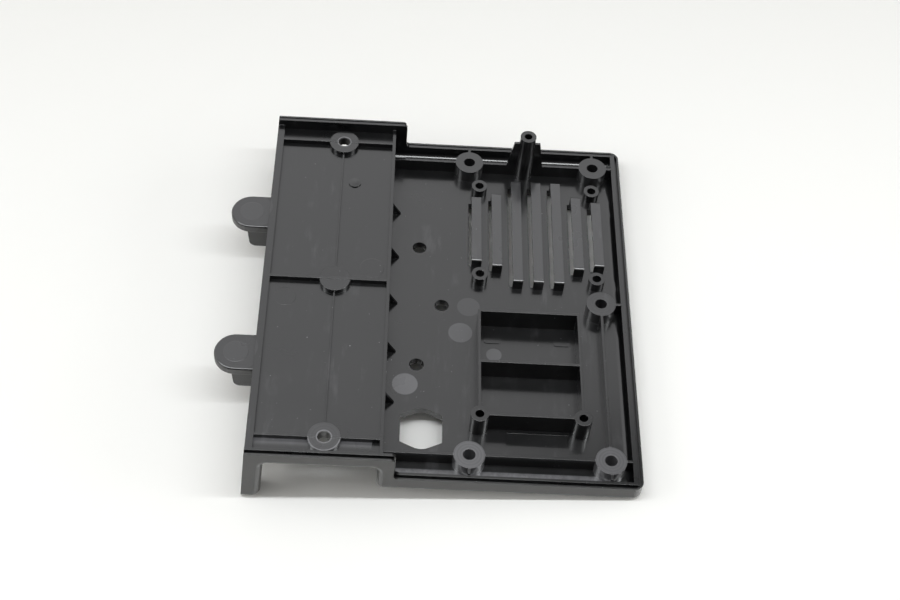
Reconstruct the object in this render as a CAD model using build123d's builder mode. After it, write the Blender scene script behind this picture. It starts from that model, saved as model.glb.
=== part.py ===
"""Injection moulded plastic housing: a ribbed tray beside a raised deck.

The deck bridges a channel that runs under the part from front to back.
X runs across the part, Y from front to back, Z up out of the open side.
The origin is the middle of the bounding box, at the level of the feet.
Positions named *_x are measured from the left rim face, and *_y from
the middle of the part; *_z are heights above the feet.
"""
import os

from build123d import *

# ---- overall size (mm) ----
body_x = 153.7  # left rim face to right rim face
body_y = 177.2  # front face to back face
lug_reach = 16.7  # side lugs, past the left rim face

# ---- levels and walls ----
tray_under_z = 10.3
tray_floor_t = 3.5
tray_rim_z = 18.5  # outer lip
deck_z = 27.0
deck_t = 2.6
deck_rim_z = 31.8  # outer lip
end_wall_t = 3.0  # front and back walls
right_wall_t = 3.8
side_wall_t = 2.8  # left wall
side_wall_z = 29.2
divider_t = 1.9
divider_top_t = 1.4
tray_corner_r = 3.8
tray_bottom_r = 2.7
tray_foot_r = 2.4  # inside, where the walls meet the floor

# ---- lip and groove round the rim ----
lip_t = 0.8
groove_w = 1.0
groove_d = 2.2
tongue_rise = 0.4  # inner tongue, above the outer lip

# ---- channel, step and legs ----
channel_x = 50.5  # right wall of the channel
channel_r = 2.5
mouth_r = 2.8  # rounded edge of the channel mouths
step_x = 56.9  # end of the high rim
step_r = 1.5  # top of the step
step_foot_r = 1.8
side_flare = 2.5  # foot of the left wall, outside its rim
leg_w = 7.5
leg_l = 8.0
leg_r = 4.0

# ---- ribs ----
rib_t = 1.1
tray_rib_z = 20.05
tray_rib_y = 76.95
deck_rib_z = 29.2
deck_rib_y = 77.35
deck_spine_t = 0.7
deck_spine_h = 1.2

# ---- large screw bosses of the tray ----
boss_d = 12.4
boss_bore = 4.9
boss_bore_depth = 7.5
boss_x = 141.3  # right column
boss_pitch_x = 55.4

# ---- deck bosses ----
deck_boss_x = 29.6
deck_boss_d = 12.8
deck_boss_z = 29.0
deck_bore = 5.2
button_d = 5.4
button_h = 0.5
button_x = 35.3
button_y = 55.0

# ---- tall boss on the back rib ----
tall_x = 110.6
tall_d = 7.0
tall_bore = 3.4
tall_bore_depth = 12.0
tall_z = 38.4
fin_z = 34.2
fin_foot = 8.0  # half width at the rib top
fin_top = 5.7  # half width at the top

# ---- gussets that brace the divider ----
gusset_n = 5
gusset_pitch = 25.0
gusset_reach = 3.6
gusset_z = 20.0
gusset_t = 1.1

# ---- fan station: screw bosses and louvre hoods ----
fan_x = 115.55
fan_y = 39.8
fan_pitch = 50.0
fan_boss_d = 6.9
fan_bore = 3.7
fan_bore_depth = 5.4
fan_boss_z = 18.2
hood_pitch = 8.8
hood_w = 4.3
hood_z = 18.6
hood_wall = 0.9
hood_r = 1.5  # rounded ends, beyond the flat top
hood_gap = 1.1  # slot left open beside each hood
hood_flat = [17.2, 19.5, 27.5, 27.5, 27.5, 19.5, 17.2]  # half lengths

# ---- walled box ----
box_x = 110.3
box_y = -34.75
box_w = 41.0
box_l = 51.1
box_z = 23.9
box_boss_d = 7.3
box_bore = 3.5
box_bore_depth = 9.0
pad_size = (7.0, 5.4)
pad_h = 0.25
pad_r = 1.2
pad_pitch = 28.9
pad_y = -16.0
recess_size = (24.8, 6.6)
recess_d = 0.7
recess_x = 113.35
recess_y = -65.05

# ---- window and round holes in the tray floor ----
window_x = 67.2
window_y = -61.9
window_w = 16.9
window_l = 20.8  # between the pointed ends, before they are rounded
window_side = 12.8  # straight sides
window_r = 7.5
hole_d = 6.0
hole_x = 64.7  # outer pair
hole_y = 31.0
middle_hole_x = 74.6

# ---- side lugs ----
lug_y = 37.0
lug_w = 17.6
lug_t = 3.4
lug_z = 25.7
lug_edge_r = 0.8
post_w = 8.2
post_reach = 10.2
post_taper = 1.0
post_z = 7.5
post_r = 3.0

# ---- derived ----
left = lug_reach - (body_x + lug_reach) / 2
right = left + body_x
half_y = body_y / 2
inner_y = half_y - end_wall_t
floor_z = tray_under_z + tray_floor_t
roof_z = deck_z - deck_t
tongue_in = lip_t + groove_w
lean = side_flare / deck_rim_z
channel = left + channel_x
divider = channel + divider_t  # tray side of the divider
step = left + step_x
ramp_end = step + 2 * step_foot_r  # past the foot of the step
tray_top = tray_rim_z + tongue_rise
side_in = left + side_wall_t


def side(z, inset=0.0):
    """X of the leaning left face at height z."""
    return left + inset - lean * (deck_rim_z - z)


def across(x0, x1, y, width):
    """A straight rib along X in the current sketch."""
    with Locations(((x0 + x1) / 2, y)):
        Rectangle(x1 - x0, width)


def along(x, y0, y1, width):
    """A straight rib along Y in the current sketch."""
    with Locations((x, (y0 + y1) / 2)):
        Rectangle(width, y1 - y0)


def elevation(*points):
    """A closed outline in the current upright sketch."""
    Polygon(*points, align=None)


with BuildPart() as housing:
    # outside of the tray
    with BuildSketch(Plane.XY.offset(tray_under_z)) as plan:
        across(channel, right, 0, body_y)
        fillet(plan.vertices().group_by(Axis.X)[-1], tray_corner_r)
    extrude(amount=tray_top - tray_under_z)

    # end walls of the deck with their legs, around the channel mouths
    for end in (1, -1):
        top = deck_rim_z + tongue_rise
        with BuildSketch(Plane.XZ.offset(end * half_y)) as wall:
            elevation(
                (side(0), 0),
                (side(0, leg_w), 0),
                (side(roof_z, leg_w), roof_z),
                (channel, roof_z),
                (channel, tray_under_z),
                (ramp_end, tray_under_z),
                (ramp_end, tray_top),
                (step + tongue_rise, tray_top),
                (step + tongue_rise, top),
                (side(top), top),
            )
            corner = wall.vertices()
            fillet(corner.sort_by_distance((side(0, leg_w), 0))[0], leg_r)
            for bend in ((side(roof_z, leg_w), roof_z), (channel, roof_z)):
                near = wall.vertices().sort_by_distance(bend)[0]
                fillet(near, channel_r)
            for height, radius in ((top, step_r), (tray_top, step_foot_r)):
                at = (step + tongue_rise, height)
                fillet(wall.vertices().sort_by_distance(at)[0], radius)
        extrude(amount=-end * end_wall_t)
        with BuildSketch(Plane.XZ.offset(end * inner_y)) as leg:
            elevation(
                (side(0), 0),
                (side(0, leg_w), 0),
                (side(roof_z, leg_w), roof_z),
                (side(roof_z), roof_z),
            )
            corner = leg.vertices()
            fillet(corner.sort_by_distance((side(0, leg_w), 0))[0], leg_r)
        extrude(amount=-end * (leg_l - end_wall_t))

    # rounded edges of the mouths, then of the underside
    for end in (Axis.Y, -Axis.Y):
        face = housing.faces().filter_by(Axis.Y).sort_by(end)[-1]
        mouth = face.edges().filter_by(
            lambda e: side(0, leg_w) - leg_r - 0.1
            < e.center().X < channel + 0.1
            and e.center().Z < roof_z + 0.1
            and e.bounding_box().size.Z + e.bounding_box().max.Z > 0.1
        )
        fillet(mouth, mouth_r)
    under = housing.faces().filter_by(Axis.Z).sort_by(SortBy.AREA)[-2:]
    fillet(under.sort_by(Axis.Z)[0].edges(), tray_bottom_r)

    # inside of the tray
    with BuildSketch(Plane.XY.offset(floor_z)):
        across(divider, right - right_wall_t, 0, 2 * inner_y)
    extrude(amount=tray_rim_z, mode=Mode.SUBTRACT)
    floor = housing.faces().filter_by(Axis.Z).filter_by(
        lambda f: abs(f.center().Z - floor_z) < 0.01
    )
    fillet(floor.edges().sort_by(Axis.X)[1:], tray_foot_r)

    # deck, left wall and the wall between the channel and the tray
    with BuildSketch(Plane.XZ) as section:
        elevation(
            (side(tray_under_z), tray_under_z),
            (side(side_wall_z), side_wall_z),
            (side_in, side_wall_z),
            (side_in, deck_z),
            (divider, deck_z),
            (divider, floor_z),
            (channel, floor_z),
            (channel, roof_z),
            (side(roof_z, side_wall_t), roof_z),
            (side(tray_under_z, side_wall_t), tray_under_z),
        )
        near = section.vertices().sort_by_distance((channel, roof_z))[0]
        fillet(near, channel_r)
    extrude(amount=inner_y, both=True)

    # rim: outer lip, and the groove between it and the tongue
    for inset, drop in ((0, 0), (lip_t, groove_d)):
        start = step - drop
        low, high = tray_rim_z - drop, deck_rim_z - drop
        with BuildSketch(Plane.XY.offset(low)) as ring:
            across(ramp_end, right - inset, 0, body_y - 2 * inset)
            corners = ring.vertices().group_by(Axis.X)[-1]
            fillet(corners, tray_corner_r - inset)
            with Locations(((ramp_end + right - tongue_in) / 2, 0)):
                Rectangle(
                    right - tongue_in - ramp_end,
                    body_y - 2 * tongue_in,
                    mode=Mode.SUBTRACT,
                )
        extrude(amount=deck_rim_z, mode=Mode.SUBTRACT)
        for end in (1, -1):
            with BuildSketch(Plane.XZ.offset(end * (half_y - inset))) as cut:
                elevation(
                    (left - side_flare, high),
                    (start, high),
                    (start, low),
                    (ramp_end, low),
                    (ramp_end, deck_rim_z + end_wall_t),
                    (left - side_flare, deck_rim_z + end_wall_t),
                )
                for height, radius in ((high, step_r), (low, step_foot_r)):
                    at = (start, height)
                    fillet(cut.vertices().sort_by_distance(at)[0], radius)
            extrude(amount=-end * (tongue_in - inset), mode=Mode.SUBTRACT)

    # deck: cross ribs, spine and the upper part of the divider
    with BuildSketch(Plane.XY.offset(deck_z)):
        for y in (-deck_rib_y, 0, deck_rib_y):
            across(side_in, divider, y, rib_t)
        along(
            divider - divider_top_t / 2,
            -inner_y,
            inner_y,
            divider_top_t,
        )
    extrude(amount=deck_rib_z - deck_z)
    with BuildSketch(Plane.XY.offset(deck_z)):
        along(left + deck_boss_x, -deck_rib_y, deck_rib_y, deck_spine_t)
    extrude(amount=deck_spine_h)
    with BuildSketch(Plane.XY.offset(deck_z)):
        with Locations((left + deck_boss_x, 0)):
            with GridLocations(0, deck_rib_y, 1, 3):
                Circle(deck_boss_d / 2)
    extrude(amount=deck_boss_z - deck_z)
    with Locations((left + deck_boss_x, 0, deck_boss_z)):
        with GridLocations(0, 2 * deck_rib_y, 1, 2):
            Hole(deck_bore / 2, depth=deck_boss_z - roof_z)
    with BuildSketch(Plane.XY.offset(deck_z)):
        with Locations((left + button_x, button_y)):
            Circle(button_d / 2)
    extrude(amount=button_h)

    # tray: ribs and the large bosses they meet in
    near_x = left + boss_x - boss_pitch_x
    far_x = left + boss_x
    boss_at = [(far_x, 0)]
    for y in (-tray_rib_y, tray_rib_y):
        boss_at += [(near_x, y), (far_x, y)]
    with BuildSketch(Plane.XY.offset(floor_z)):
        for y in (-tray_rib_y, tray_rib_y):
            across(divider, right - right_wall_t, y, rib_t)
        across(far_x, right - right_wall_t, 0, rib_t)
        along(far_x, -tray_rib_y, 0, rib_t)
        for x in (near_x, far_x):
            along(x, tray_rib_y, inner_y, rib_t)
            along(x, -inner_y, -tray_rib_y, rib_t)
        with Locations(boss_at):
            Circle(boss_d / 2)
    extrude(amount=tray_rib_z - floor_z)
    with BuildSketch(Plane.XY.offset(tray_rib_z)):
        with Locations(boss_at):
            Circle(boss_bore / 2)
    extrude(amount=-boss_bore_depth, mode=Mode.SUBTRACT)

    # tall boss between two fins
    with BuildSketch(Plane.XZ.offset(-tray_rib_y)):
        middle = left + tall_x
        elevation(
            (middle - fin_foot, floor_z),
            (middle - fin_foot, tray_rib_z),
            (middle - fin_top, fin_z),
            (middle + fin_top, fin_z),
            (middle + fin_foot, tray_rib_z),
            (middle + fin_foot, floor_z),
        )
    extrude(amount=rib_t / 2, both=True)
    with BuildSketch(Plane.XY.offset(floor_z)):
        with Locations((left + tall_x, tray_rib_y)):
            Circle(tall_d / 2)
    extrude(amount=tall_z - floor_z)
    with Locations((left + tall_x, tray_rib_y, tall_z)):
        Hole(tall_bore / 2, depth=tall_bore_depth)

    # gussets against the divider
    for i in range(gusset_n):
        y = (i - (gusset_n - 1) / 2) * gusset_pitch
        with BuildSketch(Plane.XZ.offset(-y)):
            elevation(
                (divider - divider_t / 2, floor_z),
                (divider - divider_t / 2, gusset_z),
                (divider, gusset_z),
                (divider + gusset_reach, floor_z),
            )
        extrude(amount=gusset_t / 2, both=True)

    # fan screw bosses
    with BuildSketch(Plane.XY.offset(floor_z)):
        with Locations((left + fan_x, fan_y)):
            with GridLocations(fan_pitch, fan_pitch, 2, 2):
                Circle(fan_boss_d / 2)
    extrude(amount=fan_boss_z - floor_z)
    with BuildSketch(Plane.XY.offset(fan_boss_z)):
        with Locations((left + fan_x, fan_y)):
            with GridLocations(fan_pitch, fan_pitch, 2, 2):
                Circle(fan_bore / 2)
    extrude(amount=-fan_bore_depth, mode=Mode.SUBTRACT)

    # louvre hoods: roof, right wall and two rounded ends over a slot
    for i, flat in enumerate(hood_flat):
        x = left + fan_x + (i - (len(hood_flat) - 1) / 2) * hood_pitch
        foot = flat + hood_r
        for start, wide, low, wall, mode in (
            (-hood_w / 2, hood_w, floor_z, 0, Mode.ADD),
            (
                -hood_w / 2 - hood_gap,
                hood_gap + hood_w - hood_wall,
                tray_under_z,
                hood_wall,
                Mode.SUBTRACT,
            ),
        ):
            with BuildSketch(Plane.YZ.offset(x + start)) as outline:
                elevation(
                    (fan_y - foot + wall, low),
                    (fan_y - foot + wall, hood_z - wall),
                    (fan_y + foot - wall, hood_z - wall),
                    (fan_y + foot - wall, low),
                )
                tops = outline.vertices().group_by(Axis.Y)[-1]
                fillet(tops, hood_r - wall / 2)
            extrude(amount=wide, mode=mode)

    # walled box with two corner bosses
    box = (left + box_x, box_y)
    corners = [
        (left + box_x - box_w / 2, box_y - box_l / 2),
        (left + box_x + box_w / 2, box_y - box_l / 2),
    ]
    with BuildSketch(Plane.XY.offset(floor_z)):
        with Locations(box):
            Rectangle(box_w + rib_t, box_l + rib_t)
            with GridLocations(0, box_l / 2, 1, 2):
                Rectangle(
                    box_w - rib_t, box_l / 2 - rib_t, mode=Mode.SUBTRACT
                )
        with Locations(corners):
            Circle(box_boss_d / 2)
    extrude(amount=box_z - floor_z)
    with BuildSketch(Plane.XY.offset(box_z)):
        with Locations(corners):
            Circle(box_bore / 2)
    extrude(amount=-box_bore_depth, mode=Mode.SUBTRACT)
    with BuildSketch(Plane.XY.offset(floor_z)):
        with Locations((left + box_x, pad_y)):
            with GridLocations(pad_pitch, 0, 2, 1):
                RectangleRounded(*pad_size, pad_r)
    extrude(amount=pad_h)
    with BuildSketch(Plane.XY.offset(floor_z)):
        with Locations((left + recess_x, recess_y)):
            Rectangle(*recess_size)
    extrude(amount=-recess_d, mode=Mode.SUBTRACT)

    # six-sided window with two rounded points, and three round holes
    with BuildSketch(Plane.XY.offset(floor_z)) as openings:
        window = [
            (window_w / 2, -window_side / 2),
            (window_w / 2, window_side / 2),
            (0, window_l / 2),
            (-window_w / 2, window_side / 2),
            (-window_w / 2, -window_side / 2),
            (0, -window_l / 2),
        ]
        with Locations((left + window_x, window_y)):
            Polygon(*window, align=None)
        points = openings.vertices().sort_by(Axis.Y)
        fillet([points[0], points[-1]], window_r)
        with Locations((left + hole_x, 0)):
            with GridLocations(0, 2 * hole_y, 1, 2):
                Circle(hole_d / 2)
        with Locations((left + middle_hole_x, 0)):
            Circle(hole_d / 2)
    extrude(amount=-tray_floor_t, mode=Mode.SUBTRACT)

    # side lugs on posts
    lug_end = left - lug_reach + lug_w / 2
    lug_under = lug_z - lug_t
    with BuildSketch(Plane.XY.offset(lug_under)):
        with GridLocations(0, 2 * lug_y, 1, 2):
            with Locations((lug_end, 0)):
                Circle(lug_w / 2)
            across(lug_end, side_in - side_wall_t / 2, 0, lug_w)
    extrude(amount=lug_t)
    lug_top = housing.faces().filter_by(Axis.Z).filter_by(
        lambda f: abs(f.center().Z - lug_z) < 0.01
    )
    rims = lug_top.edges().filter_by(
        lambda e: e.center().X < side(lug_z) - 0.5
    )
    fillet(rims, lug_edge_r)
    for y in (-lug_y, lug_y):
        with BuildSketch(Plane.XZ.offset(-y)) as post:
            elevation(
                (left - post_reach + post_taper, post_z),
                (left - post_reach, lug_under),
                (side(lug_under, side_wall_t / 2), lug_under),
                (side(post_z, side_wall_t / 2), post_z),
            )
            low = post.vertices().group_by(Axis.Y)[0].sort_by(Axis.X)[0]
            fillet(low, post_r)
        extrude(amount=post_w / 2, both=True)

housing.part.label = "housing"
os.makedirs("parts", exist_ok=True)
export_step(housing.part, "parts/housing.step")
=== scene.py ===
import math

import bmesh
import bpy
from mathutils import Matrix, Vector


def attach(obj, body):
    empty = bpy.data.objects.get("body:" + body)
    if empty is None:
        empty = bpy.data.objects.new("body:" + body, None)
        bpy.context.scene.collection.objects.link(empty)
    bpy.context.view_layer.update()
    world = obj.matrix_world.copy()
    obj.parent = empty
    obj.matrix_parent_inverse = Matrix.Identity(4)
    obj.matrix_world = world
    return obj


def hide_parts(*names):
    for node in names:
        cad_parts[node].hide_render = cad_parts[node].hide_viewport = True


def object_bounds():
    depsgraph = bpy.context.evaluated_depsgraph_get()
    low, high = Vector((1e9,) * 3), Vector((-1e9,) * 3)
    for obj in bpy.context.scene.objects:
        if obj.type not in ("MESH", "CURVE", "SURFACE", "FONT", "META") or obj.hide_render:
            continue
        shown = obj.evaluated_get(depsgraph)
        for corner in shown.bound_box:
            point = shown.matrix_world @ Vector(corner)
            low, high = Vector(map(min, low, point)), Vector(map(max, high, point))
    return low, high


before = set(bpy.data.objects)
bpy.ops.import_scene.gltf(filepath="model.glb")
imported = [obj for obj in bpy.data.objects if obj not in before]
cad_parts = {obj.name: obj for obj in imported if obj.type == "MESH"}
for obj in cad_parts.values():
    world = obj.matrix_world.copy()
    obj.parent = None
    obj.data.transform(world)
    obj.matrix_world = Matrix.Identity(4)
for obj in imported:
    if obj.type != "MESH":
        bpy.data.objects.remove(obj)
cad_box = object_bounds()

MM = 0.001

# ---- where the object stands ----
# It rests on the toes of its left legs and on the lower right edge of
# the tray, so the table is tilted in the object's own frame.
TABLE_TILT = math.radians(3.97)
TOE_X = -66.0 * MM
TABLE_SIZE = 6.0
TABLE_COLOUR = (0.93, 0.93, 0.92)
TABLE_ROUGHNESS = 0.9

# ---- levels and places of the moulding (mm) ----
FLOOR_Z = 13.8
HOOD_Z = 18.6
LUG_Z = 25.7
DECK_Z = 27.0
LEFT_X = -68.5
RIGHT_X = cad_box[1][0] / MM
FRONT_Y = cad_box[0][1] / MM

# Large screw bosses: two columns on the tray, one on the deck. The
# middle one of the deck is only a half disc, in front of the cross rib.
RIGHT_BOSS_X = 72.8
LEFT_BOSS_X = 17.4
BOSS_Y = 76.95
DECK_BOSS_X = -38.9
DECK_BOSS_Y = 77.35
BOSSES = (
    [(RIGHT_BOSS_X, y) for y in (BOSS_Y, 0.0, -BOSS_Y)]
    + [(LEFT_BOSS_X, y) for y in (BOSS_Y, -BOSS_Y)]
    + [(DECK_BOSS_X, y) for y in (DECK_BOSS_Y, 0.0, -DECK_BOSS_Y)]
)
BOSS_R = 6.4
TRAY_FROM_X = (-30.0, -29.0)  # bosses right of this stand on the tray
DECK_BOSS_TOPS_Z = (28.0, 28.4)  # only the tops of the deck's bosses
HALF_DISC_BACK_Y = (0.6, 8.0, 0.1)

# ---- what the mould left on the plastic, and the light painted onto it ----
# Ejector pins: x, y, z, radius, how dull, and how far proud (mm).
LUG_MARK_X = -76.4
LUG_MARK_Y = 37.0
PIN_MARKS = [
    (-8.3, -40.9, FLOOR_Z, 5.2, 0.75, 0.02),
    (14.1, -13.8, FLOOR_Z, 5.0, 0.42, 0.03),
    (17.5, -0.2, FLOOR_Z, 4.8, 0.18, 0.03),
    (28.0, -24.4, FLOOR_Z, 3.2, 0.45, 0.05),
    (-58.9, -9.1, DECK_Z, 4.5, 0.0, 0.09),
    (-23.9, 7.8, DECK_Z, 5.0, 0.0, 0.09),
]
for lug_y in (LUG_MARK_Y, -LUG_MARK_Y):
    PIN_MARKS.append((LUG_MARK_X, lug_y, LUG_Z, 5.0, 0.06, 0.09))
    PIN_MARKS.append((LUG_MARK_X, lug_y, LUG_Z, 9.5, 0.10, 0.0))
MARK_EDGE = 0.25  # half width of a mark's rim

BUTTON = (-33.2, 55.0, DECK_Z)  # small domed button on the deck
BUTTON_R = 2.9
BUTTON_DOME = 0.45

TURNING_PITCH = 1.25
TURNING_DEPTH = 0.007
GRAIN_DEPTH = 0.012
OUTSIDE_GRAIN_DEPTH = 0.02

# Noises: scale, detail, roughness.
CLOUDS = (45.0, 3.0, 0.6)
SMEARS = (60.0, 4.0, 0.6)
DUST = (900.0, 1.0, 0.5)
MOTTLE = (400.0, 3.0, 0.7)
GRAIN = (2200.0, 2.0, 0.6)
OUTSIDE_CLOUDS = (35.0, 3.0, 0.6)
OUTSIDE_GRAIN = (1600.0, 3.0, 0.6)
SMEAR_STRETCH = (3.0, 0.6, 1.0)
OUTSIDE_STRETCH = (0.6, 1.0, 2.0)
NOISE_SPAN = (0.3, 0.7)  # nearly all of a noise lies in here

# How much paler the marks make the plastic, from 0 to 1: the smears are a dull finish; the
# hood tops, the deck front and the fronts of the bosses are painted light; the rims are a
# pale ring and a painted highlight.
SMEARS_DULL = 0.22
# painted light: hood tops paler than the shaded floor between the hoods
HOOD_TOPS_PAINTED_LIGHT = 0.22
# painted light: deck strip in front of the front rib, under the ceiling strip
DECK_FRONT_PAINTED_LIGHT = 0.65
RIMS_RING_AND_HIGHLIGHT = 0.8
# painted light: boss tops paler towards the front, under the ceiling strip
BOSS_TOPS_PAINTED_LIGHT = (-80.0, 20.0, 0.55, 0.07)  # from y to y, from much to little
DECK_BOSSES_SHARE = 0.35  # against the bosses on the tray
RINGS_SHARE = (0.88, 1.12)
MOTTLE_SHARE = (0.6, 1.0)

# Spans in mm, each with the width over which it fades.
# the front wall foot is painted light from the ceiling strip
WALL_FOOT = {"x": (-27.0, 74.0, 0.5), "y": (-87.6, -80.7, 0.3), "z": (13.2, 16.0, 0.2)}
HOODS = {"x": (18.5, 77.0, 0.1), "y": (10.5, 70.0, 0.1)}
DECK_FRONT = {"x": (-67.0, -20.5, 0.3), "z": (26.7, 27.25, 0.05)}
DECK_FRONT_LIGHT_RAMP_Y = (-81.6, -78.4)
DECK_FRONT_RIB_Y = (-78.0, -77.6)
FLOOR_FEET = (FLOOR_Z - 0.6, FLOOR_Z + 0.8, 0.1)
DECK_FEET = (DECK_Z - 0.5, DECK_Z + 0.7, 0.1)

# Rims of the two outer deck bosses, radii and fade: a pale ring round the bore, and a
# painted highlight on the front arc of the outer edge.
OUTER_RIM = (5.9, 6.5, 0.1)
BORE_RIM = (2.5, 3.1, 0.15)
OUTER_BOSS_Y = (60.0, 62.0)
PAINTED_HIGHLIGHT_Y = (-79.0, -77.0)

# ---- the plastic ----
BLACK = (0.0024, 0.0025, 0.0030)
# pale grey that both the real dull marks and the painted light mix in
DULL_AND_LIT_GREY = (0.14, 0.14, 0.15)
# outside grey: partly the textured plastic's own, partly a painted reflection of the
# bright table
OUTSIDE_DARK = (0.046, 0.046, 0.046)
OUTSIDE_PALE = (0.060, 0.060, 0.060)
ROUGHNESS = (0.27, 0.35)
OUTSIDE_ROUGHNESS = (0.38, 0.46)
SPECULAR = 0.32
OUTSIDE_SPECULAR = 0.56
PLASTIC_IOR = 1.5
COAT = {"Coat Weight": 1.0, "Coat Roughness": 0.15, "Coat IOR": 1.46}
EDGE_R = 0.4  # edges, rounded in the shading only
OUTSIDE_EDGE_R = 0.2
EDGE_SAMPLES = 8
WELD = 0.002
SHARP = math.radians(28)


class Nodes:
    """Short ways to add shader nodes to one material."""

    def __init__(self, name):
        self.material = bpy.data.materials.new(name)
        self.material.use_nodes = True
        self.tree = self.material.node_tree
        self.shader = self.tree.nodes["Principled BSDF"]
        coord = self.tree.nodes.new("ShaderNodeTexCoord")
        self.place = coord.outputs["Object"]
        self.normal = coord.outputs["Normal"]
        split = self.tree.nodes.new("ShaderNodeSeparateXYZ")
        self.put(split.inputs[0], self.place)
        self.x, self.y, self.z = [
            self.maths("DIVIDE", out, MM) for out in split.outputs
        ]

    def put(self, socket, value):
        if isinstance(value, bpy.types.NodeSocket):
            self.tree.links.new(value, socket)
        else:
            socket.default_value = value

    def maths(self, kind, *values):
        node = self.tree.nodes.new("ShaderNodeMath")
        node.operation = kind
        for socket, value in zip(node.inputs, values):
            self.put(socket, value)
        return node.outputs[0]

    def fold(self, kind, values):
        """One number out of many, by one kind of maths."""
        result = values[0]
        for value in values[1:]:
            result = self.maths(kind, result, value)
        return result

    def product(self, *values):
        return self.fold("MULTIPLY", values)

    def rise(self, value, low, high, to_low=0.0, to_high=1.0):
        """Smooth step of value between low and high."""
        node = self.tree.nodes.new("ShaderNodeMapRange")
        node.interpolation_type = "SMOOTHSTEP"
        settings = (value, low, high, to_low, to_high)
        for socket, setting in zip(node.inputs, settings):
            self.put(socket, setting)
        return node.outputs[0]

    def fall(self, value, low, high):
        return self.rise(value, low, high, 1.0, 0.0)

    def band(self, value, low, high, soft):
        """1 between low and high, fading to 0 over soft on either side."""
        return self.product(
            self.rise(value, low - soft, low + soft),
            self.fall(value, high - soft, high + soft),
        )

    def patch(self, spans):
        """1 inside every span of x, y or z."""
        return self.product(
            *[self.band(getattr(self, axis), *spans[axis]) for axis in spans]
        )

    def stretched(self, scale):
        node = self.tree.nodes.new("ShaderNodeMapping")
        self.put(node.inputs["Vector"], self.place)
        node.inputs["Scale"].default_value = scale
        return node.outputs[0]

    def noise(self, scale, detail, rough, at=None):
        node = self.tree.nodes.new("ShaderNodeTexNoise")
        self.put(node.inputs["Vector"], at or self.place)
        node.inputs["Scale"].default_value = scale
        node.inputs["Detail"].default_value = detail
        node.inputs["Roughness"].default_value = rough
        return node.outputs["Fac"]

    def distance(self, place, target):
        """Distance in mm from a target, itself in mm."""
        node = self.tree.nodes.new("ShaderNodeVectorMath")
        node.operation = "DISTANCE"
        self.put(node.inputs[0], place)
        node.inputs[1].default_value = Vector(target) * MM
        return self.maths("DIVIDE", node.outputs["Value"], MM)

    def flattened(self):
        """The place seen from above, with its height left out."""
        flat = self.tree.nodes.new("ShaderNodeVectorMath")
        flat.operation = "MULTIPLY"
        self.put(flat.inputs[0], self.place)
        flat.inputs[1].default_value = (1, 1, 0)
        return flat.outputs[0]

    def colour(self, share, dark, light):
        node = self.tree.nodes.new("ShaderNodeMix")
        node.data_type = "RGBA"
        factor, first, second = node.inputs[0], node.inputs[6], node.inputs[7]
        self.put(factor, share)
        first.default_value = (*dark, 1)
        second.default_value = (*light, 1)
        return node.outputs[2]

    def surface(self, colour, roughness, specular):
        self.put(self.shader.inputs["Base Color"], colour)
        self.put(self.shader.inputs["Roughness"], roughness)
        self.shader.inputs["IOR"].default_value = PLASTIC_IOR
        self.shader.inputs["Specular IOR Level"].default_value = specular

    def rounded(self, radius, unrounded=0.0):
        """Normals of edges rounded by a radius in mm, save where told not to."""
        edge = self.tree.nodes.new("ShaderNodeBevel")
        edge.samples = EDGE_SAMPLES
        edge.inputs["Radius"].default_value = radius * MM
        mix = self.tree.nodes.new("ShaderNodeMix")
        mix.data_type = "VECTOR"
        share, first, second = mix.inputs[0], mix.inputs[4], mix.inputs[5]
        self.put(share, unrounded)
        self.put(first, edge.outputs["Normal"])
        self.put(second, self.normal)
        return mix.outputs[1]

    def relief(self, height, normal):
        """Bump from a height in mm, over the given normals."""
        bump = self.tree.nodes.new("ShaderNodeBump")
        bump.inputs["Strength"].default_value = 1.0
        bump.inputs["Distance"].default_value = MM
        self.put(bump.inputs["Height"], height)
        self.put(bump.inputs["Normal"], normal)
        self.put(self.shader.inputs["Normal"], bump.outputs["Normal"])


def pin_marks(n):
    """How dull and how high the ejector pins left the plastic."""
    paler_marks = []
    heights = []
    for x, y, z, radius, share, proud in PIN_MARKS:
        away = n.distance(n.place, (x, y, z))
        inside = n.fall(away, radius - MARK_EDGE, radius + MARK_EDGE)
        heights.append(n.product(inside, proud))
        if share:
            paler_marks.append(n.product(inside, share))
    return paler_marks, heights


def smears(n, clouds):
    """Smears drawn along the part, where the clouds are thick."""
    drawn = n.noise(*SMEARS, n.stretched(SMEAR_STRETCH))
    thick = n.rise(clouds, 0.45, 0.7)
    return n.product(n.rise(drawn, 0.52, 0.75), thick, SMEARS_DULL)


def dust(n):
    """Specks: only the very peaks of a fine noise."""
    return n.rise(n.noise(*DUST), 0.79, 0.82)


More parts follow.
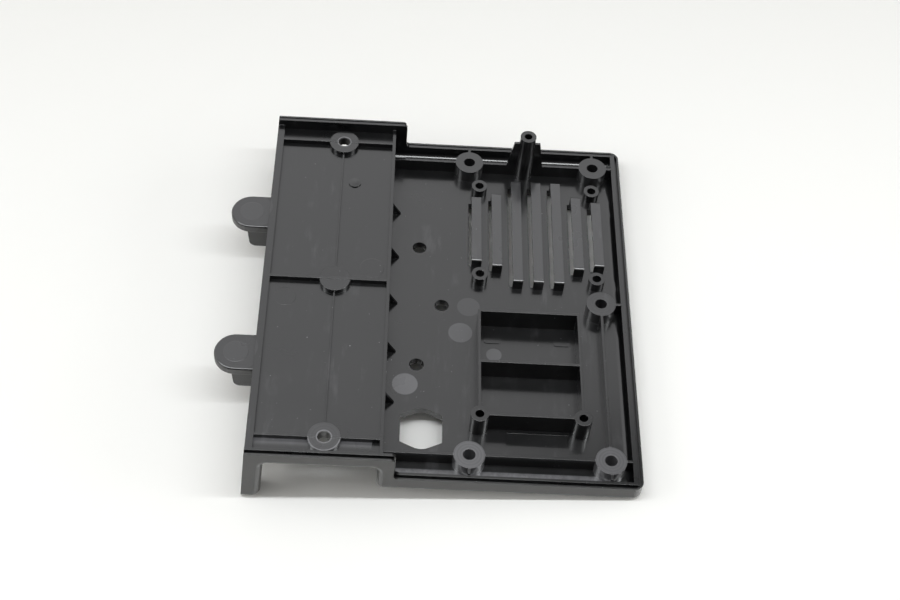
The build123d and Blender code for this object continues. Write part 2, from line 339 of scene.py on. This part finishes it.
def boss_tops(n):
    """Turning marks on the large bosses, with painted light: paler towards the front,
    where the ceiling strip shines on them.
    """
    above = n.flattened()
    turn = n.fold("MINIMUM", [n.distance(above, (x, y, 0)) for x, y in BOSSES])
    wave = n.maths("SINE", n.maths("MULTIPLY", turn, math.tau / TURNING_PITCH))
    on_deck = n.fall(n.x, *TRAY_FROM_X)
    deck_tops = n.rise(n.z, *DECK_BOSS_TOPS_Z)
    behind = n.product(n.band(n.y, *HALF_DISC_BACK_Y), on_deck)
    on_boss = n.product(
        n.fall(turn, BOSS_R - 0.1, BOSS_R + 0.1),
        n.maths("MAXIMUM", n.rise(n.x, *TRAY_FROM_X), deck_tops),
        n.maths("SUBTRACT", 1.0, behind),
    )
    rings_under_painted_light = n.product(
        n.rise(n.y, *BOSS_TOPS_PAINTED_LIGHT),
        n.rise(wave, -1.0, 1.0, *RINGS_SHARE),
        n.rise(n.x, *TRAY_FROM_X, DECK_BOSSES_SHARE, 1.0),
    )

    # painted highlight: the front arc of the outer edge, lit as if by the ceiling strip
    painted_front_highlight = n.product(n.band(turn, *OUTER_RIM), n.fall(n.y, *PAINTED_HIGHLIGHT_Y))
    bore_ring_and_painted_highlight = n.product(
        n.maths("MAXIMUM", n.band(turn, *BORE_RIM), painted_front_highlight),
        n.rise(n.maths("ABSOLUTE", n.y), *OUTER_BOSS_Y),
        on_deck,
        deck_tops,
        RIMS_RING_AND_HIGHLIGHT,
    )
    paler_marks = [n.product(on_boss, rings_under_painted_light), bore_ring_and_painted_highlight]
    return paler_marks, n.product(wave, on_boss, TURNING_DEPTH)


def hood_tops(n):
    """The flat tops of the louvre hoods, painted paler than the shaded floor between them.
    """
    level = n.rise(n.z, HOOD_Z - 0.3, HOOD_Z - 0.2)
    return n.product(n.patch(HOODS), level, HOOD_TOPS_PAINTED_LIGHT)


def front_wall_foot(n):
    """Mottled strip along the foot of the front wall, painted paler: painted light from
    the ceiling strip above the front.
    """
    mottle = n.rise(n.noise(*MOTTLE), *NOISE_SPAN, *MOTTLE_SHARE)
    return n.product(n.patch(WALL_FOOT), mottle)


def deck_front(n):
    """Strip of deck just in front of its front rib, painted paler: painted light from the
    ceiling strip above the front.
    """
    return n.product(
        n.rise(n.y, *DECK_FRONT_LIGHT_RAMP_Y),
        n.fall(n.y, *DECK_FRONT_RIB_Y),
        n.patch(DECK_FRONT),
        DECK_FRONT_PAINTED_LIGHT,
    )


def button_dome(n):
    return n.rise(n.distance(n.place, BUTTON), 0.0, BUTTON_R, BUTTON_DOME, 0.0)


def smooth_plastic():
    """Black plastic off a polished mould."""
    n = Nodes("black_plastic")
    clouds = n.noise(*CLOUDS)
    mark_dull, mark_heights = pin_marks(n)
    boss_rings_and_painted_light, boss_height = boss_tops(n)
    # pin marks, smears and dust are real dull spots; the boss fronts, rims, hood tops,
    # front wall foot and deck front are painted light
    paler_marks = mark_dull + boss_rings_and_painted_light + [
        smears(n, clouds),
        dust(n),
        hood_tops(n),
        front_wall_foot(n),
        deck_front(n),
    ]
    dull_and_painted_light = n.maths("MINIMUM", n.fold("ADD", paler_marks), 1.0)
    n.surface(
        n.colour(dull_and_painted_light, BLACK, DULL_AND_LIT_GREY),
        n.rise(clouds, *NOISE_SPAN, *ROUGHNESS),
        SPECULAR,
    )
    for name, value in COAT.items():
        n.shader.inputs[name].default_value = value

    grain = n.product(n.noise(*GRAIN), GRAIN_DEPTH)
    heights = mark_heights + [boss_height, button_dome(n), grain]
    # no rounding where the walls meet the floor or the deck
    feet = n.maths("ADD", n.band(n.z, *FLOOR_FEET), n.band(n.z, *DECK_FEET))
    n.relief(n.fold("ADD", heights), n.rounded(EDGE_R, feet))
    return n.material


def textured_plastic():
    """The outside of the moulding: the same plastic, finely textured, its grey partly the
    texture's own and partly a painted reflection of the bright table.
    """
    n = Nodes("black_plastic_outside")
    clouds = n.noise(*OUTSIDE_CLOUDS, n.stretched(OUTSIDE_STRETCH))
    n.surface(
        n.colour(n.rise(clouds, 0.35, 0.75), OUTSIDE_DARK, OUTSIDE_PALE),
        n.rise(clouds, *NOISE_SPAN, *OUTSIDE_ROUGHNESS),
        OUTSIDE_SPECULAR,
    )
    grain = n.product(n.noise(*OUTSIDE_GRAIN), OUTSIDE_GRAIN_DEPTH)
    n.relief(grain, n.rounded(OUTSIDE_EDGE_R))
    return n.material


def is_outside(face):
    """Whether a face belongs to the outside of the moulding."""
    near = 0.05
    lean = 0.3
    at = face.calc_center_median() / MM
    out = face.normal
    front_or_back = abs(at.y) > abs(FRONT_Y) - near and abs(out.y) > lean
    right = at.x > RIGHT_X - near and out.x > lean
    left = at.x < LEFT_X + near and out.x < -lean
    under = out.z < -lean
    return front_or_back or right or left or under


def dressed_housing():
    """The moulding as one merged mesh with soft normals."""
    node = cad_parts["housing"]
    shell = node.copy()
    shell.data = node.data.copy()
    shell.name = "moulded_housing"
    bpy.context.scene.collection.objects.link(shell)
    shell.data.materials.clear()
    shell.data.materials.append(smooth_plastic())
    shell.data.materials.append(textured_plastic())
    body = bmesh.new()
    body.from_mesh(shell.data)
    bmesh.ops.remove_doubles(body, verts=body.verts, dist=WELD * MM)
    body.normal_update()
    for face in body.faces:
        face.smooth = True
        face.material_index = int(is_outside(face))
    body.to_mesh(shell.data)
    body.free()
    shell.data.attributes.remove(shell.data.attributes["custom_normal"])
    shell.data.set_sharp_from_angle(angle=SHARP)
    weigh = shell.modifiers.new("flat_faces_stay_flat", "WEIGHTED_NORMAL")
    weigh.keep_sharp = True
    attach(shell, "root")
    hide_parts("housing")


def table():
    """The pale table top that the object rests on."""
    mesh = bpy.data.meshes.new("table")
    square = bmesh.new()
    bmesh.ops.create_grid(square, x_segments=1, y_segments=1, size=TABLE_SIZE / 2)
    square.to_mesh(mesh)
    square.free()
    top = bpy.data.objects.new("table", mesh)
    bpy.context.scene.collection.objects.link(top)
    top.matrix_world = (
        Matrix.Translation((TOE_X, 0, 0)) @ Matrix.Rotation(-TABLE_TILT, 4, "Y")
    )
    paint = bpy.data.materials.new("white_table")
    paint.use_nodes = True
    shader = paint.node_tree.nodes["Principled BSDF"]
    shader.inputs["Base Color"].default_value = (*TABLE_COLOUR, 1)
    shader.inputs["Roughness"].default_value = TABLE_ROUGHNESS
    shader.inputs["Specular IOR Level"].default_value = 0.0
    mesh.materials.append(paint)
    return top


dressed_housing()
table()

# ---- studio light (metres) ----
STRIP_AT = (0.0, -0.09, 0.62)
STRIP_SIZE = (1.1, 0.03)
STRIP_GLOW = 28.0

CEILING_AT = (0.0, -0.07, 0.75)
CEILING_SIZE = (1.5, 0.24)
CEILING_GLOW = 13.0

BACK_X = -0.35
BACK_AWAY = 1.45
BACK_LOW = math.radians(14)
BACK_HIGH = math.radians(68)
BACK_WIDE = 1.8
BACK_ROLL = math.radians(8)
BACK_GLOW = 1.33

SIDE_AWAY = 1.3
SIDE_AT = (-0.1, 0.45)  # y, z
SIDE_SIZE = (1.0, 0.7)
SIDE_GLOW = 3.3

COOL_WHITE = (0.97, 0.99, 1.0)
BACK_WHITE = (0.98, 0.985, 1.0)
WARM_WHITE = (1.0, 0.99, 0.96)
SKY_WHITE = (1.0, 0.99, 0.95)

# The sky is white to the camera, pale to matt faces, faint in a shine.
SKY_SEEN = 1.0
SKY_MATT = 0.4
SKY_SHINE = 0.08


def panel(name, place, size, glow, colour, shine, target=None, roll=0.0):
    """A glowing rectangle, either only in reflections or never in them.

    Without a target it faces straight down.
    """
    data = bpy.data.lights.new(name, "AREA")
    data.shape = "RECTANGLE"
    data.size, data.size_y = size
    data.energy = glow * math.pi * size[0] * size[1]
    data.color = colour
    lamp = bpy.data.objects.new(name, data)
    bpy.context.scene.collection.objects.link(lamp)
    stand = Matrix.Translation(place)
    if target is not None:
        turn = (Vector(target) - Vector(place)).to_track_quat("-Z", "Y")
        stand = stand @ turn.to_matrix().to_4x4()
    lamp.matrix_world = stand @ Matrix.Rotation(roll, 4, "Z")
    lamp.visible_diffuse = not shine
    lamp.visible_glossy = shine


def lamps():
    middle = (0, 0, 0)
    panel("ceiling_strip", STRIP_AT, STRIP_SIZE, STRIP_GLOW, COOL_WHITE, False)
    panel("ceiling", CEILING_AT, CEILING_SIZE, CEILING_GLOW, COOL_WHITE, True)

    height = (BACK_LOW + BACK_HIGH) / 2
    tall = 2 * BACK_AWAY * math.tan((BACK_HIGH - BACK_LOW) / 2)
    place = (BACK_X, BACK_AWAY * math.cos(height), BACK_AWAY * math.sin(height))
    panel("back_wall", place, (BACK_WIDE, tall), BACK_GLOW, BACK_WHITE, True,
          middle, BACK_ROLL)

    for name, side in (("left_fill", -1), ("right_fill", 1)):
        panel(name, (side * SIDE_AWAY, *SIDE_AT), SIDE_SIZE, SIDE_GLOW,
              WARM_WHITE, False, middle)


def studio_sky():
    world = bpy.data.worlds.new("studio")
    world.use_nodes = True
    tree = world.node_tree
    sky = tree.nodes["Background"]
    sky.inputs["Color"].default_value = (*SKY_WHITE, 1)
    path = tree.nodes.new("ShaderNodeLightPath")
    rays = (("Is Camera Ray", SKY_SEEN), ("Is Glossy Ray", SKY_SHINE))
    strength = None
    for ray, wanted in rays:
        step = tree.nodes.new("ShaderNodeMath")
        step.operation = "MULTIPLY_ADD"
        tree.links.new(path.outputs[ray], step.inputs[0])
        step.inputs[1].default_value = wanted - SKY_MATT
        if strength is None:
            step.inputs[2].default_value = SKY_MATT
        else:
            tree.links.new(strength, step.inputs[2])
        strength = step.outputs[0]
    tree.links.new(strength, sky.inputs["Strength"])
    return world


lamps()

# ---- camera ----
CAMERA_AT = (-20.70 * MM, -390.09 * MM, 521.69 * MM)
CAMERA_TURN = math.radians(2.65)  # from +Y towards +X
CAMERA_DOWN = math.radians(52.35)
CAMERA_ROLL = math.radians(4.8)
SENSOR = 36
LENS = 60.8
SHIFT = (0.0322, 0.0022)
NEAREST = 0.01
PICTURE = (900, 600)


def camera():
    data = bpy.data.cameras.new("camera")
    data.sensor_width = SENSOR
    data.lens = LENS
    data.shift_x, data.shift_y = SHIFT
    data.clip_start = NEAREST
    eye = bpy.data.objects.new("camera", data)
    bpy.context.scene.collection.objects.link(eye)
    eye.matrix_world = (
        Matrix.Translation(CAMERA_AT)
        @ Matrix.Rotation(-CAMERA_TURN, 4, "Z")
        @ Matrix.Rotation(math.pi / 2 - CAMERA_DOWN, 4, "X")
        @ Matrix.Rotation(CAMERA_ROLL, 4, "Z")
    )
    return eye


scene = bpy.context.scene
scene.world = studio_sky()
scene.camera = camera()
scene.view_settings.view_transform = "Standard"
scene.render.resolution_x, scene.render.resolution_y = PICTURE
